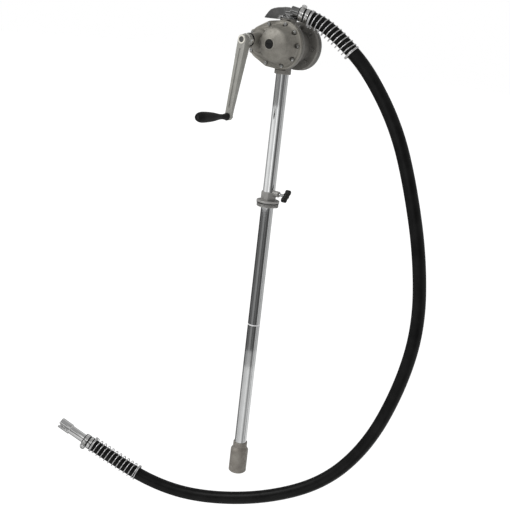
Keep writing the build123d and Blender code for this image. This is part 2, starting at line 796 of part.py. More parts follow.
with BuildPart() as spring_guard_upper:
    tube_along(upper_route, hose_radii[:2], spring_outer, spring_inner)
save(spring_guard_upper, "spring_guard_upper")

with BuildPart() as spring_guard_lower:
    tube_along(lower_route, hose_radii[-1:], spring_outer, spring_inner)
save(spring_guard_lower, "spring_guard_lower")


# ---------------------------------------------------------------- hose clamps
def clamp_band(start, end, distance, width):
    ring(across_hose(start, end, distance), hose_radius + band_thickness, hose_radius, width)


def worm_housing(start, end, distance, width, turn):
    """The worm's housing on a clamp's band, at an angle in degrees round the hose."""
    with BuildSketch(across_hose(start, end, distance)) as profile:
        with PolarLocations(hose_radius + 4, 1, start_angle=turn):
            RectangleRounded(7, 17, 2)
        Circle(hose_radius + band_thickness, mode=Mode.SUBTRACT)
    extrude(profile.sketch, amount=width)


with BuildPart() as hose_clamp_upper:
    clamp_band(hose_route[0], hose_route[1], 2, 12)
    worm_housing(hose_route[0], hose_route[1], 3, 10, -90)
save(hose_clamp_upper, "hose_clamp_upper")

with BuildPart() as clamp_band_upper:
    clamp_band(hose_route[0], hose_route[1], 18, 9)
save(clamp_band_upper, "clamp_band_upper")

with BuildPart() as hose_clamp_lower:
    clamp_band(hose_route[-2], hose_route[-1], last_run - 16, 12)
    worm_housing(hose_route[-2], hose_route[-1], last_run - 15, 10, 200)
save(hose_clamp_lower, "hose_clamp_lower")

with BuildPart() as clamp_band_lower:
    clamp_band(hose_route[-2], hose_route[-1], last_run - 27, 9)
save(clamp_band_lower, "clamp_band_lower")


# ---------------------------------------------------------------- outlet elbow
def elbow_outline(points):
    """Moves (s, height above the rotor shaft) points to the hose plane."""
    return [(s, head_z + up) for s, up in points]


spout_outer = elbow_outline([(-8, 95.5), (-27, 93), (-38, 90), (-46, 86), (-52, 79),
                             (-61, 64.5), (-58, 63.5), (-27, 63.5), (-22.5, 73), (-8, 74)])
spout_inner = elbow_outline([(-17, 92.3), (-27, 91), (-37.5, 88), (-44.8, 84.2),
                             (-50.3, 77.8), (-58.5, 64), (-58, 60), (-29, 60), (-24.5, 74),
                             (-17, 76)])
nipple_plane = across_hose(hose_route[0], hose_route[1])
shoulder_start = -22.0
body_plane = Plane(origin=hose_plane.from_local_coords((-14, head_z + elbow_up, 0)),
                   x_dir=hose_plane.z_dir, z_dir=hose_plane.x_dir)

with BuildPart() as outlet_elbow:
    disc(Plane.XY.offset(head_z + elbow_base), port_radius, elbow_base_top - elbow_base)
    disc(Plane.XY.offset(head_z + elbow_base), elbow_riser_radius, elbow_up - elbow_base)
    disc(body_plane, elbow_radius, 26)
    disc(nipple_plane, elbow_shoulder_radius, shoulder_start)
    disc(nipple_plane, hose_bore, nipple_length)
    with BuildSketch(hose_plane):
        with BuildLine():
            Polyline(*spout_outer, close=True)
        make_face()
    extrude(amount=spout_half_width, both=True)
    with BuildSketch(hose_plane):
        with BuildLine():
            Polyline(*spout_inner, close=True)
        make_face()
    extrude(amount=spout_half_width - spout_wall, both=True, mode=Mode.SUBTRACT)
    disc(Plane.XY.offset(head_z + elbow_base), passage_radius, elbow_up - elbow_base,
         mode=Mode.SUBTRACT)
    disc(nipple_plane, passage_radius, nipple_length, mode=Mode.SUBTRACT)
    disc(nipple_plane, passage_radius, -27, mode=Mode.SUBTRACT)
    with BuildSketch(Plane.XY.offset(head_z + elbow_base)):
        with PolarLocations(18.4, 2, start_angle=hose_azimuth + 90):
            Circle(2.6)
    extrude(amount=elbow_base_top - elbow_base, mode=Mode.SUBTRACT)
save(outlet_elbow, "outlet_elbow")

with BuildPart() as elbow_gasket:
    ring(Plane.XY.offset(port_top), port_radius, 12.5, head_z + elbow_base - port_top)
    with BuildSketch(Plane.XY.offset(port_top)):
        with PolarLocations(18.4, 2, start_angle=hose_azimuth + 90):
            Circle(2.6)
    extrude(amount=head_z + elbow_base - port_top, mode=Mode.SUBTRACT)
save(elbow_gasket, "elbow_gasket")

with BuildPart() as elbow_screws:
    with BuildSketch(Plane.XY.offset(head_z + elbow_base_top)):
        with PolarLocations(18.4, 2, start_angle=hose_azimuth + 90):
            Circle(3.3)
    extrude(amount=3.5)
    with BuildSketch(Plane.XY.offset(head_z + elbow_base_top)):
        with PolarLocations(18.4, 2, start_angle=hose_azimuth + 90):
            Circle(2.5)
    extrude(amount=port_top - head_z - elbow_base_top)
save(elbow_screws, "elbow_screws")


# ---------------------------------------------------------------- discharge nozzle
nozzle_plane = across_hose(hose_route[-2], hose_route[-1], last_run)
nozzle_radius = 13.0
nozzle_bore = 10.5
tip_start = 50.0
tip_end = 88.0
tip_radius = 15.5
slot_depth = 25.0

with BuildPart() as nozzle_tube:
    disc(nozzle_plane.offset(-nipple_length), hose_bore, nipple_length)
    disc(nozzle_plane, nozzle_radius, tip_start + 6)
    disc(nozzle_plane.offset(-nipple_length), nozzle_bore, 130, mode=Mode.SUBTRACT)
save(nozzle_tube, "nozzle_tube")

with BuildPart() as nozzle_tip:
    ring(nozzle_plane.offset(tip_start), tip_radius, nozzle_radius, tip_end - tip_start)
    chamfer(nozzle_tip.edges().filter_by(GeomType.CIRCLE).group_by(SortBy.RADIUS)[-1], 1)
    slot_plane = Plane(origin=nozzle_plane.offset(tip_end).origin, x_dir=nozzle_plane.z_dir,
                       z_dir=nozzle_plane.x_dir)
    with BuildSketch(slot_plane):
        Rectangle(2 * slot_depth, 9)
        with Locations((-slot_depth - 5.5, 0)):
            Circle(2)
    extrude(amount=tip_radius + 1, both=True, mode=Mode.SUBTRACT)
save(nozzle_tip, "nozzle_tip")
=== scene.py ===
import json
from math import ceil, cos, pi, radians, sin, tau

import bmesh
import bpy
from mathutils import Matrix, Vector


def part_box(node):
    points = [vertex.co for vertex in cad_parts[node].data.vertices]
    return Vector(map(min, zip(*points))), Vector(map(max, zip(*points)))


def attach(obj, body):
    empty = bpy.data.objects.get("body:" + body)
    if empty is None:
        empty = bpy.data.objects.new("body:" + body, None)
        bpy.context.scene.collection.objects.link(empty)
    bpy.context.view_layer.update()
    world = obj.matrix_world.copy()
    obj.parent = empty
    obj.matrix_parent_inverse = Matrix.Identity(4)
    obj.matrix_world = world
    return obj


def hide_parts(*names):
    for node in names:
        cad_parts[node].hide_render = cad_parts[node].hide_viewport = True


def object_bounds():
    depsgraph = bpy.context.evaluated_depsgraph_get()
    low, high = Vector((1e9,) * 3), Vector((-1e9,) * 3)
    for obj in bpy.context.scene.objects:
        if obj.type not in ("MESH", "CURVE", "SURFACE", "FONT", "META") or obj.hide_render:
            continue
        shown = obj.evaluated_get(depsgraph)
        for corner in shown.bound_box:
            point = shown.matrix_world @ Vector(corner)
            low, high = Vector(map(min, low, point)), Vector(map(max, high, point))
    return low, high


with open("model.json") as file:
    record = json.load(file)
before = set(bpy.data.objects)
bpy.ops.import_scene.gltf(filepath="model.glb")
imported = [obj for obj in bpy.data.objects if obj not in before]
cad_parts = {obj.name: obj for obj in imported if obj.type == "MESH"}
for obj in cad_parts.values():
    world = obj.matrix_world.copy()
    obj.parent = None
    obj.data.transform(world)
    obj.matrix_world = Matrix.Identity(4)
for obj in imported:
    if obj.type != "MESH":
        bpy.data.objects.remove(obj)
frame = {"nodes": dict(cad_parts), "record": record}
cad_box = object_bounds()
nodes = frame["nodes"]
mm = 0.001

hose_azimuth = radians(22)  # how far the hose's plane is turned from the pump's front


def in_hose_plane(s, z, t=0.0):
    """A point of the hose's upright plane, or t to its front, from millimetres to metres."""
    return Vector((s * cos(hose_azimuth) + t * sin(hose_azimuth),
                   s * sin(hose_azimuth) - t * cos(hose_azimuth), z)) * mm


# ---------------------------------------------------------------- camera
camera_azimuth = radians(35.25)
camera_distance = 2.55
camera_height = 0.4895
camera_pan = radians(0.41)
camera_tilt = radians(13.95)
camera_roll = radians(-6.44)
camera_lens = 67.7
camera_reach = 60.0


def add_camera():
    """A view from the front right, tilted down, and rolled a little."""
    data = bpy.data.cameras.new("camera")
    data.lens = camera_lens
    data.clip_end = camera_reach
    camera = bpy.data.objects.new("camera", data)
    bpy.context.scene.collection.objects.link(camera)
    heading = camera_azimuth + camera_pan
    forward = Vector((-sin(heading) * cos(camera_tilt), cos(heading) * cos(camera_tilt),
                      -sin(camera_tilt)))
    level = Vector((cos(heading), sin(heading), 0))
    upright = level.cross(forward)
    right = level * cos(camera_roll) - upright * sin(camera_roll)
    up = upright * cos(camera_roll) + level * sin(camera_roll)
    place = Vector((camera_distance * sin(camera_azimuth),
                    -camera_distance * cos(camera_azimuth), camera_height))
    turn = Matrix((right, up, -forward)).transposed().to_4x4()
    camera.matrix_world = Matrix.Translation(place) @ turn
    bpy.context.scene.camera = camera


# ---------------------------------------------------------------- material helpers
def new_material(name, roughness=0.5, metallic=0.0):
    material = bpy.data.materials.new(name)
    material.use_nodes = True
    tree = material.node_tree
    shader = tree.nodes["Principled BSDF"]
    shader.inputs["Roughness"].default_value = roughness
    shader.inputs["Metallic"].default_value = metallic
    return material, tree, shader


def noise(tree, scale, detail=5.0, roughness=0.55, stretch=(1, 1, 1)):
    coords = tree.nodes.new("ShaderNodeTexCoord")
    mapping = tree.nodes.new("ShaderNodeMapping")
    mapping.inputs["Scale"].default_value = stretch
    texture = tree.nodes.new("ShaderNodeTexNoise")
    texture.inputs["Scale"].default_value = scale
    texture.inputs["Detail"].default_value = detail
    texture.inputs["Roughness"].default_value = roughness
    tree.links.new(coords.outputs["Object"], mapping.inputs["Vector"])
    tree.links.new(mapping.outputs["Vector"], texture.inputs["Vector"])
    return texture.outputs["Fac"]


def pointiness(tree):
    return tree.nodes.new("ShaderNodeNewGeometry").outputs["Pointiness"]


def ramp(tree, value, *stops):
    """Colours along a value: each stop is (position, red, green, blue) or (position, grey)."""
    node = tree.nodes.new("ShaderNodeValToRGB")
    elements = node.color_ramp.elements
    while len(elements) < len(stops):
        elements.new(1.0)
    for element, stop in zip(elements, stops):
        element.position = stop[0]
        colour = stop[1:] if len(stop) == 4 else (stop[1],) * 3
        element.color = (*colour, 1.0)
    tree.links.new(value, node.inputs["Fac"])
    return node.outputs["Color"]


def mixed(tree, factor, first, second, blend="MIX"):
    """Mixes two colour outputs. The factor is a number or an output."""
    node = tree.nodes.new("ShaderNodeMix")
    node.data_type = "RGBA"
    node.blend_type = blend
    if isinstance(factor, (int, float)):
        node.inputs["Factor"].default_value = factor
    else:
        tree.links.new(factor, node.inputs["Factor"])
    tree.links.new(first, node.inputs["A"])
    tree.links.new(second, node.inputs["B"])
    return node.outputs["Result"]


def bumps(tree, shader, *layers):
    """Stacks bump layers: each is (height output, distance in metres, strength)."""
    normal = None
    for height, distance, strength in layers:
        node = tree.nodes.new("ShaderNodeBump")
        node.inputs["Distance"].default_value = distance
        node.inputs["Strength"].default_value = strength
        tree.links.new(height, node.inputs["Height"])
        if normal is not None:
            tree.links.new(normal, node.inputs["Normal"])
        normal = node.outputs["Normal"]
    tree.links.new(normal, shader.inputs["Normal"])


def hollows(tree, reach):
    """Ambient occlusion used as painted shade: 1 in the open and less in the piece's own corners
    and pockets.
    """
    node = tree.nodes.new("ShaderNodeAmbientOcclusion")
    node.only_local = True
    node.samples = 8
    node.inputs["Distance"].default_value = reach
    return node.outputs["AO"]


def cast_metal(name, dark, light, metallic=0.45, grain=0.00035):
    """A sand-cast surface: mottled, grainy, rubbed bright on its edges, and darker in its
    concave creases and its hollows as painted shade."""
    material, tree, shader = new_material(name, metallic=metallic)
    mottle = ramp(tree, noise(tree, 45), (0.3, *dark), (0.7, *light))
    speckle = ramp(tree, noise(tree, 900, 3), (0.35, 0.74), (0.65, 1.0))
    # Pointiness: convex edges are rubbed bright, which is real; concave creases are darkened as
    # painted shade.
    edge_wear_and_painted_crease_shade = ramp(tree, pointiness(tree), (0.44, 0.62), (0.5, 1.0), (0.56, 1.3))
    grained = mixed(tree, 1.0, mottle, speckle, "MULTIPLY")
    worn_with_painted_crease_shade = mixed(tree, 1.0, grained, edge_wear_and_painted_crease_shade, "MULTIPLY")
    # Painted shade: ambient occlusion darkens the piece's own hollows and pockets.
    painted_hollow_shade = ramp(tree, hollows(tree, 0.04), (0.2, 0.28), (0.85, 1.0))
    colour = mixed(tree, 1.0, worn_with_painted_crease_shade, painted_hollow_shade, "MULTIPLY")
    tree.links.new(colour, shader.inputs["Base Color"])
    gloss = ramp(tree, noise(tree, 120), (0.3, 0.42), (0.7, 0.62))
    tree.links.new(gloss, shader.inputs["Roughness"])
    bumps(tree, shader, (noise(tree, 170, 3), 0.0012, 0.35), (noise(tree, 1100, 4), grain, 0.7))
    return material


def plated_metal(name, dark, light, low, high, scratch=(1, 1, 1), depth=0.00002, metallic=1.0):
    """Bright plating: faint clouding, fine scratches along one direction."""
    material, tree, shader = new_material(name, metallic=metallic)
    clouds = ramp(tree, noise(tree, 30), (0.35, *dark), (0.65, *light))
    tree.links.new(clouds, shader.inputs["Base Color"])
    scratches = noise(tree, 700, 4, 0.6, scratch)
    gloss = ramp(tree, scratches, (0.35, low), (0.7, high))
    tree.links.new(gloss, shader.inputs["Roughness"])
    bumps(tree, shader, (scratches, depth, 0.5))
    return material


def rubber(name, dark, light, low, high, shine=0.5):
    """Smooth black rubber with a faint bloom and fine moulding marks."""
    material, tree, shader = new_material(name)
    shader.inputs["Specular IOR Level"].default_value = shine
    bloom = ramp(tree, noise(tree, 22, 6), (0.35, *dark), (0.7, *light))
    tree.links.new(bloom, shader.inputs["Base Color"])
    gloss = ramp(tree, noise(tree, 90), (0.3, low), (0.7, high))
    tree.links.new(gloss, shader.inputs["Roughness"])
    bumps(tree, shader, (noise(tree, 240, 3), 0.0004, 0.25), (noise(tree, 1800, 2), 0.0001, 0.5))
    return material


def plastic(name, dark, light, low, high, shine=0.5):
    """Moulded plastic with a fine grain."""
    material, tree, shader = new_material(name)
    shader.inputs["Specular IOR Level"].default_value = shine
    tone = ramp(tree, noise(tree, 60), (0.35, *dark), (0.65, *light))
    tree.links.new(tone, shader.inputs["Base Color"])
    gloss = ramp(tree, noise(tree, 300), (0.3, low), (0.7, high))
    tree.links.new(gloss, shader.inputs["Roughness"])
    bumps(tree, shader, (noise(tree, 1500, 3), 0.00012, 0.6))
    return material


finishes = {
    "casting": cast_metal("cast_aluminium", (0.25, 0.237, 0.208), (0.35, 0.333, 0.295)),
    "arm_casting": cast_metal("arm_aluminium", (0.38, 0.376, 0.345), (0.48, 0.475, 0.44),
                              0.5, 0.00012),
    "chrome": plated_metal("chrome", (0.86, 0.87, 0.87), (0.93, 0.94, 0.94), 0.04, 0.10,
                           (1, 1, 0.03), 0.000012),
    # Zinc plating darker than bright zinc: partly aged zinc, partly painted shade for bolt heads
    # sitting in shaded pockets.
    "plated_steel": plated_metal("zinc_plating_with_painted_shade", (0.50, 0.50, 0.49), (0.64, 0.64, 0.63),
                                 0.18, 0.32),
    "machined_steel": plated_metal("machined_steel", (0.20, 0.20, 0.19), (0.30, 0.30, 0.285),
                                   0.25, 0.42, (1, 0.05, 1), 0.00005),
    "pump_iron": cast_metal("pump_iron", (0.10, 0.10, 0.10), (0.16, 0.16, 0.16)),
    "bronze": plated_metal("sintered_bronze", (0.44, 0.29, 0.13), (0.54, 0.37, 0.18),
                           0.32, 0.5, (1, 1, 1), 0.00008),
    "black_rubber": rubber("black_rubber", (0.004, 0.004, 0.004), (0.010, 0.010, 0.010),
                           0.28, 0.40, 0.16),
    "gasket_sheet": rubber("gasket_sheet", (0.10, 0.095, 0.09), (0.15, 0.145, 0.135),
                           0.6, 0.8),
    "black_plastic": plastic("black_plastic", (0.006, 0.006, 0.006), (0.014, 0.014, 0.013),
                             0.34, 0.48, 0.22),
    "pale_plastic": plastic("pale_nylon", (0.62, 0.60, 0.53), (0.70, 0.68, 0.61), 0.4, 0.5),
}
# A darker copy of the chrome for the hood: painted shade standing in for the dark reflections on
# it.
hood_chrome_with_painted_shade = plated_metal("hood_chrome_with_painted_shade", (0.28, 0.28, 0.28), (0.50, 0.50, 0.495), 0.05, 0.14,
                           (1, 1, 0.2), 0.00006)
# A lighter copy of the chrome for the nozzle: painted light standing in for its bright
# reflections.
nozzle_chrome_with_painted_light = plated_metal("nozzle_chrome_with_painted_light", (0.92, 0.92, 0.915), (0.99, 0.99, 0.985),
                             0.04, 0.12, (1, 1, 0.2), 0.00004)
joint_metal = plated_metal("joint_metal", (0.86, 0.86, 0.86), (0.92, 0.92, 0.92), 0.55, 0.70,
                           metallic=0.4)
clamp_steel = plated_metal("clamp_steel", (0.88, 0.88, 0.87), (0.95, 0.95, 0.94), 0.08, 0.20)
spring_wire = plated_metal("spring_wire", (0.86, 0.86, 0.86), (0.94, 0.94, 0.94), 0.30, 0.45)
dark_steel = plated_metal("blackened_steel", (0.03, 0.03, 0.03), (0.06, 0.06, 0.06),
                          0.35, 0.5)
# Darker copies of the cast aluminium for the rear cover and the body: painted shade for their
# shaded rear flange and waist.
shade_painted_rear_casting = cast_metal("rear_aluminium_painted_shade", (0.15, 0.145, 0.135), (0.22, 0.215, 0.20), 0.3)
shade_painted_body_casting = cast_metal("body_aluminium_painted_shade", (0.19, 0.18, 0.165), (0.27, 0.26, 0.24), 0.35)
bung_casting = cast_metal("bung_aluminium", (0.34, 0.335, 0.32), (0.48, 0.47, 0.455))
foot_casting = cast_metal("foot_aluminium", (0.265, 0.243, 0.215), (0.37, 0.348, 0.31))
slot_of = {row["node"]: row["material_slot"] for row in frame["record"]["subparts"]}
own_finish = {
    "outlet_elbow": hood_chrome_with_painted_shade, "nozzle_tube": nozzle_chrome_with_painted_light, "nozzle_tip": nozzle_chrome_with_painted_light,
    "hose_clamp_upper": clamp_steel, "hose_clamp_lower": clamp_steel,
    "clamp_band_upper": clamp_steel, "clamp_band_lower": clamp_steel,
    "spring_guard_upper": spring_wire, "spring_guard_lower": spring_wire,
    "tube_joint": joint_metal, "grip_spindle": dark_steel, "pump_body": shade_painted_body_casting,
    "rear_cover": shade_painted_rear_casting, "bung_adaptor": bung_casting, "foot_valve_body": foot_casting,
}


def finish_with(piece, slot, material=None):
    piece.data.materials.clear()
    piece.data.materials.append(material or finishes[slot])


# ---------------------------------------------------------------- mesh helpers
def link(name, data):
    piece = bpy.data.objects.new(name, data)
    bpy.context.scene.collection.objects.link(piece)
    return piece


def modified(piece, kind, **settings):
    modifier = piece.modifiers.new(kind.lower(), kind)
    for key, value in settings.items():
        setattr(modifier, key, value)
    return modifier


def apply_modifiers(piece):
    """Leaves the piece with the mesh that its modifiers make, and no modifiers."""
    seen = piece.evaluated_get(bpy.context.evaluated_depsgraph_get())
    mesh = bpy.data.meshes.new_from_object(seen)
    piece.modifiers.clear()
    piece.data = mesh
    return piece


def joined(name, pieces):
    """One piece from several meshes."""
    work = bmesh.new()
    for piece in pieces:
        work.from_mesh(piece.data)
        bpy.data.objects.remove(piece)
    mesh = bpy.data.meshes.new(name)
    work.to_mesh(mesh)
    work.free()
    return link(name, mesh)


def copied(name, node):
    """A new piece with a CAD node's mesh."""
    work = bmesh.new()
    work.from_mesh(nodes[node].data)
    bmesh.ops.remove_doubles(work, verts=work.verts, dist=0.00001)
    mesh = bpy.data.meshes.new(name)
    work.to_mesh(mesh)
    work.free()
    return link(name, mesh)


def moulded(piece, voxel, smoothing):
    """Runs overlapping shapes together into one casting, with soft edges and fillets."""
    modified(piece, "REMESH", mode="VOXEL", voxel_size=voxel * mm, use_smooth_shade=True)
    modified(piece, "SMOOTH", factor=0.5, iterations=smoothing)
    return apply_modifiers(piece)


def softened(piece, width, segments=3, angle=32):
    """Rounds the sharp edges of a hard-surface mesh."""
    modified(piece, "BEVEL", width=width * mm, segments=segments, limit_method="ANGLE",
             angle_limit=radians(angle), harden_normals=False)
    apply_modifiers(piece)
    piece.data.shade_smooth()
    piece.data.set_sharp_from_angle(angle=radians(50))
    return piece


def placed(piece, node, body):
    """Finishes a piece, makes it ride on a body, and lets it stand for a CAD node."""
    finish_with(piece, slot_of[node], own_finish.get(node))
    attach(piece, body)
    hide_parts(node)
    return piece


def frame_along(start, along, side=(0, 0, 1)):
    """A matrix whose z axis runs along a direction, and whose x axis is nearest side."""
    z = Vector(along).normalized()
    x = Vector(side)
    x = (x - z * x.dot(z)).normalized()
    turn = Matrix((x, z.cross(x), z)).transposed().to_4x4()
    return Matrix.Translation(Vector(start)) @ turn


def lathe(name, profile, place, segments=96):
    """A closed solid of revolution, from (radius, distance) pairs in millimetres along the
    z axis of a matrix."""
    work = bmesh.new()
    rings = []
    for radius, along in profile:
        if radius < 0.001:
            rings.append([work.verts.new(place @ Vector((0, 0, along * mm)))])
            continue
        rings.append([
            work.verts.new(place @ Vector((radius * mm * cos(tau * k / segments),
                                           radius * mm * sin(tau * k / segments),
                                           along * mm)))
            for k in range(segments)
        ])
    for first, second in zip(rings, rings[1:] + rings[:1]):
        if len(first) == 1 and len(second) == 1:
            continue
        for k in range(segments):
            corners = [first[k % len(first)], first[(k + 1) % len(first)],
                       second[(k + 1) % len(second)], second[k % len(second)]]
            work.faces.new(list(dict.fromkeys(corners)))
    bmesh.ops.recalc_face_normals(work, faces=work.faces)
    mesh = bpy.data.meshes.new(name)
    work.to_mesh(mesh)
    work.free()
    return link(name, mesh)


def prism(name, outline, place, height):
    """A closed extrusion of an outline of (x, y) pairs in millimetres, along a matrix's z."""
    work = bmesh.new()
    base = [work.verts.new(place @ Vector((x * mm, y * mm, 0))) for x, y in outline]
    top = [work.verts.new(place @ Vector((x * mm, y * mm, height * mm))) for x, y in outline]
    work.faces.new(base)
    work.faces.new(top)
    for k in range(len(outline)):
        after = (k + 1) % len(outline)
        work.faces.new((base[k], base[after], top[after], top[k]))
    bmesh.ops.recalc_face_normals(work, faces=work.faces)
    mesh = bpy.data.meshes.new(name)
    work.to_mesh(mesh)
    work.free()
    return link(name, mesh)


def regular(sides, flats, turn=0.0):
    """A regular polygon by its width over flats."""
    radius = flats / 2 / cos(pi / sides)
    return [(radius * cos(tau * k / sides + turn), radius * sin(tau * k / sides + turn))
            for k in range(sides)]


# ---------------------------------------------------------------- hose
hose_diameter = 0.036
hose_route = [
    (26, 506), (77, 496), (149, 450), (226, 381), (314, 252), (371, 108), (425, -80),
    (450, -270), (423, -451), (360, -631), (254, -769), (90, -857), (-99, -901),
    (-252, -892), (-410, -832), (-481.5, -800),
]


def route_curve(name, points):
    """A smooth NURBS line with the route's points as its control points."""
    data = bpy.data.curves.new(name, "CURVE")
    data.dimensions = "3D"
    line = data.splines.new("NURBS")
    line.points.add(len(points) - 1)
    for point, place in zip(line.points, points):
        point.co = (*place, 1.0)
    line.order_u = 3
    line.use_endpoint_u = True
    line.resolution_u = 24
    return link(name, data)


def points_along(curve):
    """The line of a curve that has no bevel yet, as a list of points."""
    mesh = bpy.data.meshes.new_from_object(
        curve.evaluated_get(bpy.context.evaluated_depsgraph_get()))
    return [vertex.co.copy() for vertex in mesh.vertices]


hose = route_curve("rubber_hose", [in_hose_plane(*point) for point in hose_route])
hose_line = points_along(hose)
hose_steps = [0.0]
for before, after in zip(hose_line, hose_line[1:]):
    hose_steps.append(hose_steps[-1] + (after - before).length)
hose_side = in_hose_plane(0, 0, 1).normalized()
hose_end = hose_steps[-1] / mm


def on_hose(distance, turn=0.0, radius=0.0):
    """The point at a distance along the hose, off its centreline by radius towards turn:
    0 is up or outwards in the hose's plane, and a quarter turn is to its front."""
    distance = min(max(distance * mm, 0.0), hose_steps[-1])
    k = next(i for i in range(1, len(hose_steps)) if hose_steps[i] >= distance)
    part = (distance - hose_steps[k - 1]) / (hose_steps[k] - hose_steps[k - 1])
    place = hose_line[k - 1].lerp(hose_line[k], part)
    ahead = (hose_line[k] - hose_line[k - 1]).normalized()
    outward = hose_side.cross(ahead)
    return place + (outward * cos(turn) + hose_side * sin(turn)) * radius * mm, ahead


def make_hose():
    hose.data.bevel_depth = hose_diameter / 2
    hose.data.bevel_resolution = 14
    hose.data.use_fill_caps = True
    placed(hose, "hose", "pump")


# ---------------------------------------------------------------- spring guards
wire = 1.3                  # the wire's radius, in millimetres
closed_pitch = 2 * wire * 1.04
steps_per_turn = 28


def spring(name, node, start, end, turns, closed_start, closed_end, coil, coil_hang):
    """A wire helix that lies loosely on the hose: turns is the number of open turns, and
    its ends have closed turns that lie against each other. coil is the helix's radius and
    coil_hang is how far its centre is from the hose's."""
    head = closed_start * closed_pitch
    tail = closed_end * closed_pitch
    total = closed_start + turns + closed_end
    steps = ceil(total * steps_per_turn)
    data = bpy.data.curves.new(name, "CURVE")
    data.dimensions = "3D"
    line = data.splines.new("POLY")
    line.points.add(steps)
    for k in range(steps + 1):
        turn = total * k / steps
        if turn < closed_start:
            place = start + turn * closed_pitch
        elif turn > closed_start + turns:
            place = end - (total - turn) * closed_pitch
        else:
            open_part = (turn - closed_start) / turns
            place = start + head + open_part * (end - start - head - tail)
        point, _ = on_hose(place, -tau * turn, coil)
        centred, _ = on_hose(place, 0, coil_hang)
        line.points[k].co = (*(point - centred + on_hose(place)[0]), 1.0)
    data.bevel_depth = wire * mm
    data.bevel_resolution = 3
    data.use_fill_caps = True
    return placed(link(name, data), node, "pump")


# ---------------------------------------------------------------- hose clamps
band_radius = 19.0
band_bite = 0.1             # how far a band is pressed into the rubber
lip_height = 0.5            # a band's rolled edges
lip_width = 1.5
lip_crest = 0.7
lip_outside = 0.35
plain_band_width = 9.0
worm_band_width = 11.0
worm_band_inset = 8.0       # from the hose's end to the middle of the band
plain_band_inset = 22.5
worm_arch = [(-0.8, -5.2), (2.6, -5.2), (5.2, -3.4), (6.0, 0), (5.2, 3.4), (2.6, 5.2),
             (-0.8, 5.2)]
worm_length = 16.0
screw_rise = 2.6            # the worm screw's axis above the band
screw_profile = [(0, 0), (3.4, 0), (3.4, 1), (2.6, 1), (2.6, 26), (0, 26)]
screw_start = 12.5
head_start = 16.0
head_flats = 7.0
head_height = 4.0
slots = 9
first_slot = 0.7            # radians from the worm's housing
slot_step = 0.16
slot_lean = 0.25
slot_outline = [(-3.2, -0.5), (3.2, -0.5), (3.2, 0.5), (-3.2, 0.5)]
slot_height = 0.45


def band(name, distance, width):
    """A steel band around the hose with rolled edges."""
    point, ahead = on_hose(distance)
    place = frame_along(point, ahead, hose_side)
    inner = hose_diameter / mm / 2 - band_bite
    half = width / 2
    profile = [(inner, -half), (band_radius + lip_outside, -half),
               (band_radius + lip_height, -half + lip_crest),
               (band_radius, -half + lip_width), (band_radius, half - lip_width),
               (band_radius + lip_height, half - lip_crest),
               (band_radius + lip_outside, half), (inner, half)]
    return softened(lathe(name, profile, place, 72), 0.25, 2)


def worm_clamp(name, node, distance, turn, size=1.0):
    """A worm-drive clamp: the band with its slots' raised edges, the worm's housing, and the
    screw with its hexagonal head. size scales the housing and the head."""
    parts = [band(name + "_band", distance, worm_band_width)]
    point, ahead = on_hose(distance, turn, band_radius)
    up = (point - on_hose(distance)[0]).normalized()
    across = up.cross(ahead)
    seat = frame_along(point - across * worm_length / 2 * mm, across, up)
    arch = [(height * size, along * size) for height, along in worm_arch]
    parts.append(softened(prism(name + "_housing", arch, seat, worm_length), 0.7, 3))
    screw = frame_along(point + up * screw_rise * mm - across * screw_start * mm, across, up)
    parts.append(softened(lathe(name + "_screw", screw_profile, screw, 32), 0.25, 2))
    head = frame_along(point + up * screw_rise * mm - across * head_start * mm, across, up)
    parts.append(softened(prism(name + "_head", regular(6, head_flats * size), head,
                                head_height * size), 0.5, 2))
    for k in range(slots):
        lead, _ = on_hose(distance, turn + first_slot + k * slot_step, band_radius - band_bite)
        outward = (lead - on_hose(distance)[0]).normalized()
        slot = frame_along(lead, outward, ahead + outward.cross(ahead) * slot_lean)
        parts.append(prism(name + "_tooth", slot_outline, slot, slot_height))
    return placed(joined(name, parts), node, "pump")


# ---------------------------------------------------------------- castings
def fine_piece(name, node, body, width=0.5):
    """A CAD part's shape with its sharp edges rounded."""
    return placed(softened(copied(name, node), width), node, body)


def cast_piece(name, node, body, voxel, smoothing, extras=()):
    """A CAD part's shape as a casting, run together with some extra shapes."""
    whole = joined(name, [copied(name + "_core", node), *extras])
    return placed(moulded(whole, voxel, smoothing), node, body)


def relaxed(piece, weight, iterations):
    """Smooths a mesh further where weight, a function of a point, is above 0."""
    group = piece.vertex_groups.new(name="soft")
    for vertex in piece.data.vertices:
        amount = weight(vertex.co)
        if amount > 0:
            group.add([vertex.index], amount, "REPLACE")
    modified(piece, "SMOOTH", factor=0.5, iterations=iterations, vertex_group="soft")
    apply_modifiers(piece)
    piece.vertex_groups.clear()
    return piece


cover_rim = -0.024          # in front of this the cover's cup is smoothed further
cover_blend = 0.006


def make_head():
    cast_piece("shade_painted_body_casting", "pump_body", "pump", 1.0, 4)
    cover = cast_piece("cover_casting", "gear_cover", "pump", 1.0, 3)
    relaxed(cover, lambda place: min(max((cover_rim - place.y) / cover_blend, 0), 1), 14)
    cast_piece("shade_painted_rear_casting", "rear_cover", "pump", 1.0, 4)
    fine_piece("cover_bolt_heads", "gear_cover_bolts", "pump", 0.7)
    fine_piece("rear_bolt_heads", "rear_cover_bolts", "pump", 0.7)
    fine_piece("filler_plug_head", "filler_plug", "pump", 0.6)
    fine_piece("seal_lip", "crank_shaft_seal", "pump", 0.7)


def make_crank():
    cast_piece("arm_casting", "crank_arm", "crank", 0.7, 4)
    fine_piece("set_screw_head", "crank_set_screw", "crank", 0.6)
    fine_piece("shaft_ring", "crank_ring", "crank", 0.35)
    fine_piece("spindle_lock_nut", "spindle_nut", "crank", 0.5)
    fine_piece("hand_grip", "grip", "handle_grip", 0.8)


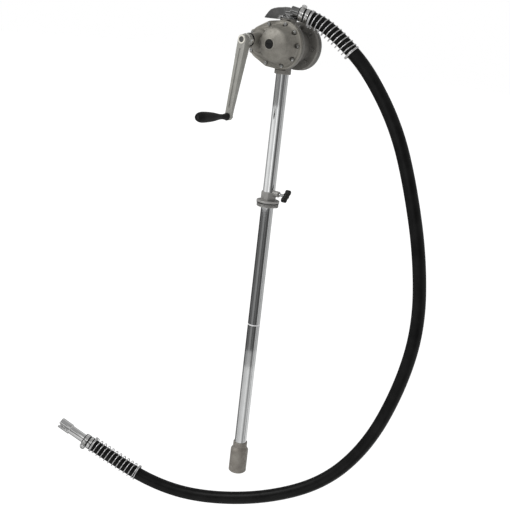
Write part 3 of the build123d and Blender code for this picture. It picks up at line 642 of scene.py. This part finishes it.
def make_elbow():
    cast_piece("chrome_elbow", "outlet_elbow", "pump", 0.6, 8)
    fine_piece("elbow_screw_heads", "elbow_screws", "pump", 0.5)


# ---------------------------------------------------------------- bung adaptor
thread_root = 28.5
thread_crest = 29.8
thread_pitch = 2.31
thread_half = 4.3
thread_top = 5.2            # the CAD's plain thread is turned down to the root below this
ridge_bite = 0.5            # how far the ridge starts inside the root
ridge_half_foot = 1.0
ridge_half_crest = 0.2
ridge_steps = 320


def thread_ridge():
    """One helical ridge of the pipe thread."""
    work = bmesh.new()
    turns = 2 * thread_half / thread_pitch
    foot = thread_root - ridge_bite
    rows = []
    for k in range(ridge_steps + 1):
        angle = tau * turns * k / ridge_steps
        z = -thread_half + 2 * thread_half * k / ridge_steps
        section = [(foot, z - ridge_half_foot), (thread_crest, z - ridge_half_crest),
                   (thread_crest, z + ridge_half_crest), (foot, z + ridge_half_foot)]
        rows.append([work.verts.new(Vector((r * cos(angle), r * sin(angle), h)) * mm)
                     for r, h in section])
    for first, second in zip(rows, rows[1:]):
        for j in range(4):
            after = (j + 1) % 4
            work.faces.new((first[j], first[after], second[after], second[j]))
    work.faces.new(rows[0])
    work.faces.new(rows[-1])
    bmesh.ops.recalc_face_normals(work, faces=work.faces)
    mesh = bpy.data.meshes.new("thread")
    work.to_mesh(mesh)
    work.free()
    return link("thread", mesh)


def make_bung():
    body = copied("bung_core", "bung_adaptor")
    for vertex in body.data.vertices:
        radius = vertex.co.xy.length
        if vertex.co.z < thread_top * mm and radius > thread_root * mm:
            vertex.co.xy *= thread_root * mm / radius
    moulded(body, 0.6, 4)
    whole = joined("bung_casting", [body, thread_ridge()])
    whole.data.shade_smooth()
    placed(whole, "bung_adaptor", "bung")
    knob = copied("wing_knob", "thumb_knob")
    placed(moulded(knob, 0.4, 6), "thumb_knob", "clamp_screw")


# ---------------------------------------------------------------- suction tube
tube_wall = 3.0
tube_chamfer = 0.4


def tube_piece(name, node):
    """A round tube that fills the CAD tube's box, with its ends' edges broken."""
    low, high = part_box(node)
    outer = (high.x - low.x) / 2 / mm
    bore = outer - tube_wall
    profile = [(bore, low.z / mm), (outer - tube_chamfer, low.z / mm),
               (outer, low.z / mm + tube_chamfer), (outer, high.z / mm - tube_chamfer),
               (outer - tube_chamfer, high.z / mm), (bore, high.z / mm)]
    piece = lathe(name, profile, Matrix.Identity(4), 128)
    piece.data.shade_smooth()
    piece.data.set_sharp_from_angle(angle=radians(30))
    return placed(piece, node, "pump")


def make_tube():
    tube_piece("chrome_tube_upper", "suction_tube_upper")
    tube_piece("chrome_tube_lower", "suction_tube_lower")
    cast_piece("foot_casting", "foot_valve_body", "pump", 0.8, 4)


# ---------------------------------------------------------------- build
add_camera()
for node, node_object in nodes.items():
    finish_with(node_object, slot_of[node], own_finish.get(node))
make_hose()
upper_spring = spring("upper_spring_wire", "spring_guard_upper", start=30.0, end=174.0,
                      turns=10.5, closed_start=2.0, closed_end=1.5, coil=22.2, coil_hang=2.7)
lower_spring = spring("lower_spring_wire", "spring_guard_lower", start=hose_end - 192,
                      end=hose_end - 30, turns=11.0, closed_start=1.5, closed_end=2.0,
                      coil=22.8, coil_hang=1.7)
upper_worm = worm_clamp("upper_worm_clamp", "hose_clamp_upper", worm_band_inset, turn=0)
lower_worm = worm_clamp("lower_worm_clamp", "hose_clamp_lower", hose_end - worm_band_inset,
                        turn=radians(45), size=1.5)
upper_band = placed(band("upper_band", plain_band_inset, plain_band_width),
                    "clamp_band_upper", "pump")
lower_band = placed(band("lower_band", hose_end - plain_band_inset, plain_band_width),
                    "clamp_band_lower", "pump")
nozzle_pipe = fine_piece("nozzle_pipe", "nozzle_tube", "pump", 0.5)
nozzle_mouth = fine_piece("nozzle_mouth", "nozzle_tip", "pump", 0.5)
make_head()
make_crank()
make_elbow()
make_bung()
make_tube()

# ---------------------------------------------------------------- stage and light
scene = bpy.context.scene
scene.view_settings.view_transform = "Standard"
slide_down = next(joint["range_m"][0] for joint in frame["record"]["behaviour"]["joints"]
                  if joint["name"] == "height_slide")
floor_gap = 0.012           # below the pump at its lowest
floor_z = cad_box[0].z + slide_down - floor_gap
floor_size = 30
card_lift = 0.005           # the floor's cards above the floor
card_distance = 1.2
card_steps = 24
floor_card_edges = (0.001, 3.0)
card_levels = (-0.84, -0.24, 0.16, 0.90)
card_foot = -0.91           # from here to the lowest tier the cards fade into the floor's
card_columns = (            # azimuths, then the tones: the floor's, and each tier's upwards
    ("back", -181, -125, 0.45, 0.20, 0.60, 0.40),
    ("left", -125, -66, 0.14, 0.05, 0.35, 0.14),
    ("front_left", -66, -20, 0.46, 0.10, 0.80, 0.28),
    ("front", -20, 17, 0.54, 0.20, 0.60, 0.20),
    ("front_right", 17, 35, 0.66, 0.07, 1.00, 0.60),
    ("middle", 35, 53, 0.58, 0.10, 0.45, 0.22),
    ("right", 53, 90, 0.26, 0.05, 0.10, 0.11),
    ("side", 90, 111, 0.52, 0.42, 0.40, 0.30),
    ("far_side", 111, 179, 0.60, 0.42, 0.45, 0.42),
)


def glowing(name, brightness, tone):
    """A plain even finish for stage pieces."""
    material = bpy.data.materials.new(name)
    material.use_nodes = True
    shader = material.node_tree.nodes["Principled BSDF"]
    shader.inputs["Base Color"].default_value = (tone, tone, tone, 1)
    shader.inputs["Roughness"].default_value = 0.9
    shader.inputs["Emission Color"].default_value = (1, 1, 1, 1)
    shader.inputs["Emission Strength"].default_value = brightness
    return material


def add_floor():
    """White to the camera and greyer in reflections."""
    work = bmesh.new()
    bmesh.ops.create_grid(work, x_segments=1, y_segments=1, size=floor_size)
    mesh = bpy.data.meshes.new("floor")
    work.to_mesh(mesh)
    work.free()
    floor = link("floor", mesh)
    floor.location.z = floor_z
    material = glowing("pale_floor", 0.95, 0.2)
    tree = material.node_tree
    path = tree.nodes.new("ShaderNodeLightPath")
    level = tree.nodes.new("ShaderNodeMapRange")
    level.inputs["To Min"].default_value = 0.95
    level.inputs["To Max"].default_value = 0.85
    tree.links.new(path.outputs["Is Glossy Ray"], level.inputs["Value"])
    tree.links.new(level.outputs["Result"],
                   tree.nodes["Principled BSDF"].inputs["Emission Strength"])
    floor.data.materials.append(material)


def reflections_only(card, brightness):
    card.data.materials.append(glowing(card.name, brightness, 0.0))
    card.visible_camera = False
    card.visible_diffuse = False
    card.visible_shadow = False
    card.visible_transmission = False


def reflector(name, start, end, low, high, brightness):
    """A card round the object that only its reflections show, between two azimuths and
    two edges, each given by its distance and height."""
    work = bmesh.new()
    rows = []
    for k in range(card_steps + 1):
        azimuth = radians(start + (end - start) * k / card_steps)
        rows.append([work.verts.new((distance * sin(azimuth), -distance * cos(azimuth), z))
                     for distance, z in (low, high)])
    for first, second in zip(rows, rows[1:]):
        work.faces.new((first[0], second[0], second[1], first[1]))
    mesh = bpy.data.meshes.new(name)
    work.to_mesh(mesh)
    work.free()
    reflections_only(link(name, mesh), brightness)


def level_card(name, brightness, height, radius):
    """A level round card that only the object's reflections show."""
    work = bmesh.new()
    bmesh.ops.create_circle(work, cap_ends=True, segments=48, radius=radius)
    mesh = bpy.data.meshes.new(name)
    work.to_mesh(mesh)
    work.free()
    card = link(name, mesh)
    card.location.z = height
    reflections_only(card, brightness)


def area_light(name, place, target, size, power):
    data = bpy.data.lights.new(name, "AREA")
    data.shape = "DISK"
    data.size = size
    data.energy = power
    lamp = link(name, data)
    lamp.location = place
    lamp.rotation_euler = (Vector(target) - Vector(place)).to_track_quat("-Z", "Y").to_euler()


def add_world():
    """White to the camera, and softer as a light on the object."""
    world = bpy.data.worlds.new("studio")
    scene.world = world
    world.use_nodes = True
    tree = world.node_tree
    background = tree.nodes["Background"]
    background.inputs["Color"].default_value = (1, 1, 1, 1)
    path = tree.nodes.new("ShaderNodeLightPath")
    level = tree.nodes.new("ShaderNodeMapRange")
    level.inputs["To Min"].default_value = 1.0
    level.inputs["To Max"].default_value = 0.5
    tree.links.new(path.outputs["Is Diffuse Ray"], level.inputs["Value"])
    tree.links.new(level.outputs["Result"], background.inputs["Strength"])


add_world()
add_floor()
level_card("top_card", brightness=0.28, height=1.5, radius=2.0)
floor_edges = [(distance, floor_z + card_lift) for distance in floor_card_edges]
card_edges = [(card_distance, level) for level in (card_foot, *card_levels)]
for name, start, end, floor_tone, *tones in card_columns:
    reflector(f"{name}_floor", start, end, *floor_edges, floor_tone)
    for tier, tone, low, high in zip(("foot", "low", "middle", "high"),
                                     ((floor_tone + tones[0]) / 2, *tones), card_edges,
                                     card_edges[1:]):
        reflector(f"{name}_{tier}", start, end, low, high, tone)
area_light("key", place=(-1.6, -2.2, 2.4), target=(0, 0, 0.1), size=1.6, power=60)
